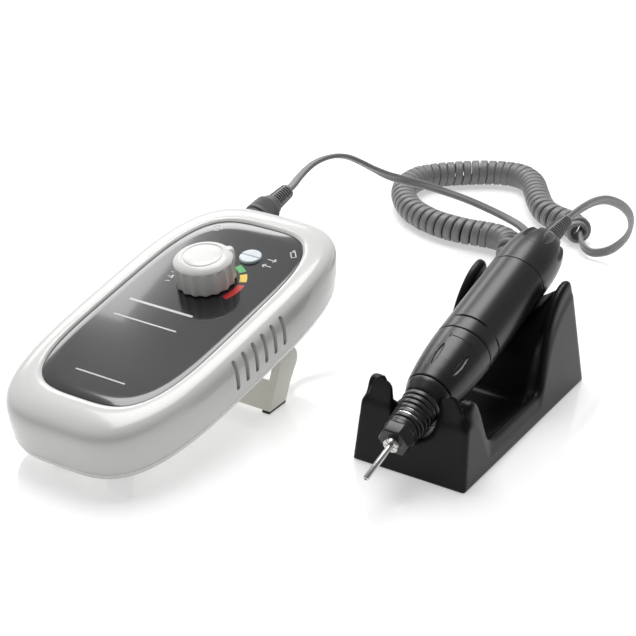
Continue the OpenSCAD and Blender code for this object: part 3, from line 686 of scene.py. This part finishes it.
cap = [(0.8, 0.5), (0.8, 6.9), (0.9, 7.4), (1.2, 7.95), (1.7, 8.5)] + refine(
    [(2.4, 9.1), (3.4, 9.6), (4.6, 10.1), (6, 10.6), (7.5, 11.0), (9, 11.35), (11, 11.65), (13, 11.9),
        (16, 12.15), (19, 12.27),
     (22, 12.3), (27.2, 12.3)], 0.3) + [(27.4, 12.22), (27.48, 12.0), (27.5, 9.5)]
points, faces = lathe(cap, 400, scoops)
make("cap_shell", points, faces, SATIN, "handpiece", 40, hand, ("rear_cap",))


def arc_grooves(t, z, r):
    out = np.zeros_like(t)
    for c in (83, -7, -97, 173):
        d = np.abs(turn_gap(t, math.radians(c)))
        half = 0.45 * np.sqrt(np.clip(1 - (d / math.radians(34)) ** 2, 0, 1))
        out = np.maximum(out, smooth_step((half + 0.12 - abs(z - 66.6)) / 0.16) * (half > 0.02))
    return 0.55 * out


shell = [(27.6, 9.5), (27.62, 12.0), (27.7, 12.22), (27.9, 12.3)] + refine([(28.1, 12.3), (65.6, 12.3)], 2.5) + \
    refine([(65.8, 12.3), (67.5, 12.3)], 0.09) + refine([(67.8, 12.3), (73.0, 12.3)], 1.5) + [(73.22, 12.22),
        (73.33, 12.0), (73.35, 9.5)]
points, faces = lathe(shell, 400, arc_grooves)
make("barrel_shell", points, faces, SATIN, "handpiece", 40, hand, ("barrel",))


def ring_relief(t, z, r):
    out = np.zeros_like(t)
    for c in (96, 44, -84, -136):
        d = np.abs(turn_gap(t, math.radians(c))) * r
        k = (z - 89.0) / 5.6
        half = 1.05 * math.sqrt(max(0.0, 1 - k * k)) ** 1.3
        if half > 0.03:
            out = np.maximum(out, 0.55 * np.clip(1 - (d / half) ** 2, 0, 1) ** 0.8)
    for c in (-20, 160):
        d = np.abs(turn_gap(t, math.radians(c)))
        patch = smooth_step((math.radians(17) - d) / 0.05) * float(window(z, 75.5, 98.0, 0.8))
        out = np.maximum(out, 0.28 * patch * (0.5 + 0.5 * np.cos(2 * math.pi * z / 1.1) * np.cos(70 * t)))
    return out


chuck = [(73.65, 9.4), (73.67, 12.0), (73.78, 12.22),
    (74.0, 12.3)] + refine([(74.1, 12.3), (79, 12.2), (84, 11.9), (90, 11.3),
                                                                          (95, 10.6), (99.3, 9.88)], 0.26) + [(99.6, 9.8), (99.8, 9.6), (99.85, 8.6)]
points, faces = lathe(chuck, 440, ring_relief)
make("chuck_shell", points, faces, SATIN, "chuck", 40, hand, ("chuck_ring",))

# generic turn arrow moulded on the chuck ring


def arrow(p):
    """(angle in degrees, distance from the rear end, height) on the ring's surface."""
    p = np.asarray(p, float)
    a, r = np.radians(p[..., 0]), 12.27 + p[..., 2]
    return hand(np.stack([r * np.cos(a), r * np.sin(a), p[..., 1]], -1))


def strip(line, w, h=0.09):
    """A raised stroke along (angle, distance) points."""
    q = np.asarray(line, float)
    flat = q * np.array([12.3 * math.pi / 180, 1])
    d = np.gradient(flat, axis=0)
    d /= np.linalg.norm(d, axis=1)[:, None]
    side = np.stack([-d[:, 1], d[:, 0]], 1) * w / 2
    rings = []
    for k in range(len(q)):
        f, s = flat[k], side[k]
        rings.append([(*(f + s), -0.1), (*(f + s * 0.8), h), (*(f - s * 0.8), h), (*(f - s), -0.1)])
    rings = np.array(rings) / np.array([12.3 * math.pi / 180, 1, 1])
    return grid(rings, True)


a = np.linspace(50, 92, 30)
for k, (line, w) in enumerate([(np.stack([a, 78.6 + 0 * a], 1), 0.30), (np.array([[56.5, 77.4], [53, 78.0],
    [49.5, 78.6]]), 0.34),
                               (np.array([[56.5, 79.8], [53, 79.2], [49.5, 78.6]]), 0.34),
                                   (np.array([[95, 77.6], [95, 78.6], [95, 79.6]]), 0.4)]):
    points, faces = strip(line, w)
    make(f"turn_arrow_{k}", points, faces, GROOVE, "chuck", 40, arrow)

nose = [(100.15, 8.6), (100.17, 9.3), (100.3, 9.52), (100.6, 9.55), (102, 9.05), (103.6, 8.45), (105.0, 7.95),
    (105.45, 7.7)]
for k in range(7):
    z, r = 105.6 + 2.3 * k, 7.75 - 1.2 * (k / 6) ** 0.75
    nose += [(z + 0.03, r - 0.5), (z + 0.1, r - 0.62), (z + 0.42, r - 0.62), (z + 0.5, r - 0.5),
        (z + 0.55, r - 0.12), (z + 0.7, r),
             (z + 1.1, r + 0.03), (z + 1.8, r), (z + 2.15, r - 0.06), (z + 2.26, r - 0.2)]
nose += [(121.75, 6.5), (122.4, 6.5), (123.0, 6.4), (123.2, 6.1), (123.2, 3.7)]
points, faces = lathe(nose, 200, None)
make("nose_grip", points, faces, SATIN, "handpiece", 40, hand, ("nose_sleeve",))


# ---------- cradle ----------
def flat_distance(outline, u, v):
    """Signed distance to a closed outline on a grid of u, v; negative inside."""
    a = np.asarray(outline, float)
    b = np.roll(a, -1, 0)
    uu, vv = np.meshgrid(u, v, indexing="ij")
    best = np.full(uu.shape, 1e9)
    inside = np.zeros(uu.shape, bool)
    for (ax, ay), (bx, by) in zip(a, b):
        ex, ey = bx - ax, by - ay
        k = np.clip(((uu - ax) * ex + (vv - ay) * ey) / (ex * ex + ey * ey), 0, 1)
        best = np.minimum(best, np.hypot(uu - ax - k * ex, vv - ay - k * ey))
        if ey:
            inside ^= ((ay > vv) != (by > vv)) & (uu < ax + (vv - ay) * ex / ey)
    return np.where(inside, -best, best)


def chaikin(outline, rounds=2):
    a = np.asarray(outline, float)
    for _ in range(rounds):
        b = np.roll(a, -1, 0)
        a = np.stack([0.75 * a + 0.25 * b, 0.25 * a + 0.75 * b], 1).reshape(-1, 2)
    return a


def join(a, b, k):
    return np.minimum(a, b) - np.maximum(k - np.abs(a - b), 0) ** 2 / (4 * k)


def both(a, b, k):
    return -join(-a, -b, k)


def skin(d, origin, step):
    """Quads where a sampled distance field crosses zero (surface nets)."""
    n = np.array(d.shape) - 1
    total = int(n.prod())
    flat = lambda c: (c[:, 0] * n[1] + c[:, 1]) * n[2] + c[:, 2]
    count, place, quads = np.zeros(total), np.zeros((total, 3)), []
    for axis in range(3):
        lo = np.take(d, range(0, d.shape[axis] - 1), axis)
        hi = np.take(d, range(1, d.shape[axis]), axis)
        at = np.argwhere((lo < 0) != (hi < 0))
        low, high = lo[tuple(at.T)], hi[tuple(at.T)]
        spot = at.astype(float)
        spot[:, axis] += low / (low - high)
        one, two = np.eye(3, dtype=int)[(axis + 1) % 3], np.eye(3, dtype=int)[(axis + 2) % 3]
        cells = [flat(at - shift) for shift in (0 * one, one, one + two, two)]
        for c in cells:
            count += np.bincount(c, minlength=total)
            for j in range(3):
                place[:, j] += np.bincount(c, weights=spot[:, j], minlength=total)
        quad = np.stack(cells, 1)
        quad[low > 0] = quad[low > 0][:, ::-1]
        quads.append(quad)
    used = np.flatnonzero(count)
    index = np.full(total, -1)
    index[used] = np.arange(len(used))
    return place[used] / count[used][:, None] * step + origin, index[np.concatenate(quads)][:, ::-1]


def cradle():
    """Cradle about its centre: horned front plate, low rails, rear wings and a trough between them."""
    step = 0.6
    low = np.array([-26.1, -54.9, -1.5])
    x, y, z = [low[j] + step * np.arange(k) for j, k in enumerate((88, 184, 89))]
    X, Y, Z = np.meshgrid(x, y, z, indexing="ij", sparse=True)
    A = np.abs(X)
    side = chaikin([(-70, -20), (70, -20), (70, 49.4), (39.5, 49.4), (34.5, 48.9), (28.5, 45.6), (22.8, 39.5),
        (18.8, 31), (16.2, 22),
                    (14.6, 13.4), (11.2, 11.0), (0, 11.0), (-20, 11.0), (-29, 11.0), (-32.2, 13.2),
                        (-34.8, 20), (-37.6, 27.4), (-40.2, 32.2),
                    (-43.2, 33.8), (-46.0, 32.6), (-47.2, 28), (-47.6, 24), (-50, 21), (-70, 18)])
    plate = [(40, -20), (40, 21), (22.9, 23.2), (21.5, 25.2), (20.4, 27.4), (19.9, 31.4), (18.4, 35.4),
        (15.6, 37.9), (11.8, 38.1),
             (9.7, 36.2), (9.2, 30), (9, 24.5)]
    notch = [(9 * math.cos(a), 24.5 - 9 * math.sin(a)) for a in np.radians(range(15, 180, 15))]
    plate = chaikin(plate + notch + [(-a, b) for a, b in plate[::-1]], 2)
    outer = (A + 0.057 * Z - 24.2) / 1.0016
    inner = 19.4 - 1.9 * smooth_step((-34 - Y) / 4)
    walls = both(both(flat_distance(side, y, z)[None], outer, 2.6), inner - 0.057 * Z - A, 3.4)
    front = (-53 + 0.13 * Z - Y) / 1.0084
    horns = both(both(flat_distance(plate, x, z)[:, None], front, 2.4), Y + 46.6, 2.2)
    saddles = [chaikin([(-70, -20), (-70, 22), (-48, 25), (-43.5, 26.5), (-38, 20), (-34.5, 11), (-32, 6),
        (-32, -20)]),
               chaikin([(8, -20), (11, 6), (14.5, 14), (19.5, 27), (27, 36.5), (38, 42.5), (46, 44), (70, 44),
                   (70, -20)])]
    body = join(walls, horns, 0.8)
    body = join(body, both(Z - 6.0, 0 * A + 0 * Y - 6, 0.1), 4.0)
    for one in saddles:
        body = join(body, flat_distance(one, y, z)[None] + 0 * A, 3.0)
    back = (Y + 0.24 * Z - 53) / 1.0284
    body = both(both(both(body, outer, 1.8), front, 1.8), back, 3.0)
    # room for the handpiece lying in the trough
    px, py, pz = X, Y + CRADLE[1] - HAND_END[1], Z - HAND_END[2]
    c, s = math.cos(HAND_TILT), math.sin(HAND_TILT)
    rise, along = -py * s + pz * c, -py * c - pz * s
    tube = lambda r, up, a, b: np.maximum(np.where(rise > up, A, np.hypot(px, rise - up)) - r, np.maximum(a - along, along - b))
    for cut in (tube(16.4, 3.6, -30, 76), tube(12.5, 0, 70, 107), tube(9.0, 0, 104, 160)):
        body = both(body, -cut, 1.6)
    for fx in (-17, 17):
        for fy in (-46, 46):
            body = np.maximum(body, -np.maximum(np.hypot(X - fx, Y - fy) - 4.1, Z - 0.85))
    return skin(np.maximum(body, -Z), low, step)


points, faces = cradle()
make("cradle_shell", points, faces, CRADLE_BLACK, "base", 60, lambda p: p + CRADLE, ("cradle",))


def soften(node, name, material, width, body, segments=3, limit=38):
    """A copy of a CAD part's surface with rounded edges."""
    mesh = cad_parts[node].data.copy()
    bm = bmesh.new()
    bm.from_mesh(mesh)
    bmesh.ops.remove_doubles(bm, verts=bm.verts, dist=2e-7)
    bmesh.ops.dissolve_limit(bm, angle_limit=0.004, verts=bm.verts, edges=bm.edges)
    bm.to_mesh(mesh)
    bm.free()
    mesh.materials.clear()
    mesh.materials.append(material)
    piece = bpy.data.objects.new(name, mesh)
    bpy.context.scene.collection.objects.link(piece)
    mod = piece.modifiers.new("round", "BEVEL")
    mod.width = width * MM
    mod.segments = segments
    mod.limit_method = "ANGLE"
    mod.angle_limit = math.radians(limit)
    bake(piece, 40)
    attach(piece, body)
    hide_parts(node)
    return piece


hexagon = []
for z, r in ((123.0, 3.6), (123.0, 6.4), (123.2, 6.75), (127.2, 6.45), (127.75, 6.2), (128.0, 5.85),
    (128.0, 3.9), (127.8, 3.6)):
    bevel = 3.5 if r > 5 else 30
    turns = np.radians([60 * k + d for k in range(6) for d in (-bevel, -bevel / 3, bevel / 3, bevel)])
    hexagon.append(np.stack([r * np.cos(turns), r * np.sin(turns), z + 0 * turns], -1))
points, faces = grid(np.array(hexagon), True)
make("nose_hex", points, faces, SATIN, "handpiece", 25, hand, ("nose_tip",))
soften("kickstand", "stand_frame", IVORY, 0.5, "stand")
soften("collet", "collet_jaws", STEEL, 0.12, "shaft", 2)
soften("nail_bit", "bit_shank", STEEL, 0.10, "bit", 2)
soften("cradle_pads", "cradle_feet", RUBBER, 0.2, "base", 2)

# ---------- materials of the CAD parts that stay ----------
FINISH = {
    "lower_case": WHITE, "pot_shaft": ZINC, "speed_pot": ZINC, "rocker_switch": DARK, "main_board": BOARD,
    "board_components": DARK, "battery_cells": CELL, "motor_socket": DARK, "charge_jack": DARK, "case_screws": STEEL,
    "front_feet": RUBBER, "kickstand_grips": RUBBER, "plug_pin": STEEL, "motor_can": STEEL, "motor_magnets": ZINC,
    "rotor": COPPER, "commutator": COPPER, "motor_shaft": STEEL, "brush_holder": CREAM, "motor_brushes": DARK,
    "rear_bearing": STEEL, "drive_coupling": ZINC, "spindle": STEEL, "middle_bearing": STEEL, "front_bearing": STEEL,
    "collet_spring": STEEL}
for node, material in FINISH.items():
    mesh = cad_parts[node].data
    mesh.materials.clear()
    mesh.materials.append(material)

# ---------- floor and light ----------
floor_mesh = bpy.data.meshes.new("floor")
floor_mesh.from_pydata([(-6, -6, 0), (6, -6, 0), (6, 9, 0), (-6, 9, 0)], [], [(0, 1, 2, 3)])
floor = bpy.data.objects.new("floor", floor_mesh)
floor.location.z = -0.0002
bpy.context.scene.collection.objects.link(floor)
ground = plastic("floor_white", (0.70, 0.70, 0.70), 0.09, 0.015, 300, 0.0, specular=1.0, tint=0.002)
glow = ground.node_tree.nodes["Principled BSDF"]
glow.inputs["Emission Color"].default_value = (1, 1, 1, 1)
glow.inputs["Emission Strength"].default_value = 0.45
floor_mesh.materials.append(ground)


def softbox(name, place, aim, size, power, colour=(1, 1, 1)):
    lamp = bpy.data.lights.new(name, "AREA")
    lamp.shape = "RECTANGLE"
    lamp.size, lamp.size_y = size
    lamp.energy = power
    lamp.color = colour
    thing = bpy.data.objects.new(name, lamp)
    bpy.context.scene.collection.objects.link(thing)
    thing.location = place
    thing.rotation_euler = (Vector(aim) - Vector(place)).to_track_quat("-Z", "Y").to_euler()
    thing.visible_camera = False
    return thing


softbox("top_light", (-0.30, 0.45, 1.4), (0.0, 0.05, 0), (1.0, 1.0), 17)
softbox("key_light", (-0.71, 0.56, 0.50), (-0.71, 0.56, 0.0), (0.5, 0.5), 3.0)

world = bpy.data.worlds.new("studio")
bpy.context.scene.world = world
world.use_nodes = True
wn, wl = world.node_tree.nodes, world.node_tree.links
where = wn.new("ShaderNodeTexCoord")
toward = wn.new("ShaderNodeVectorMath")
toward.operation = "DOT_PRODUCT"
toward.inputs[1].default_value = (-0.6, 0.8, 0.0)
ramp = wn.new("ShaderNodeValToRGB")
ramp.color_ramp.elements[0].position = 0.0
ramp.color_ramp.elements[0].color = (0.10, 0.10, 0.10, 1)
ramp.color_ramp.elements[1].position = 0.85
ramp.color_ramp.elements[1].color = (0.75, 0.75, 0.75, 1)
middle = ramp.color_ramp.elements.new(0.45)
middle.color = (0.30, 0.30, 0.30, 1)
shift = wn.new("ShaderNodeMapRange")
shift.inputs["From Min"].default_value = -1
wl.new(where.outputs["Generated"], toward.inputs[0])
wl.new(toward.outputs["Value"], shift.inputs["Value"])
wl.new(shift.outputs["Result"], ramp.inputs["Fac"])
wl.new(ramp.outputs["Color"], wn["Background"].inputs["Color"])
wn["Background"].inputs["Strength"].default_value = 1.0
bpy.context.scene.view_settings.view_transform = "Standard"
bpy.context.scene.view_settings.look = "None"
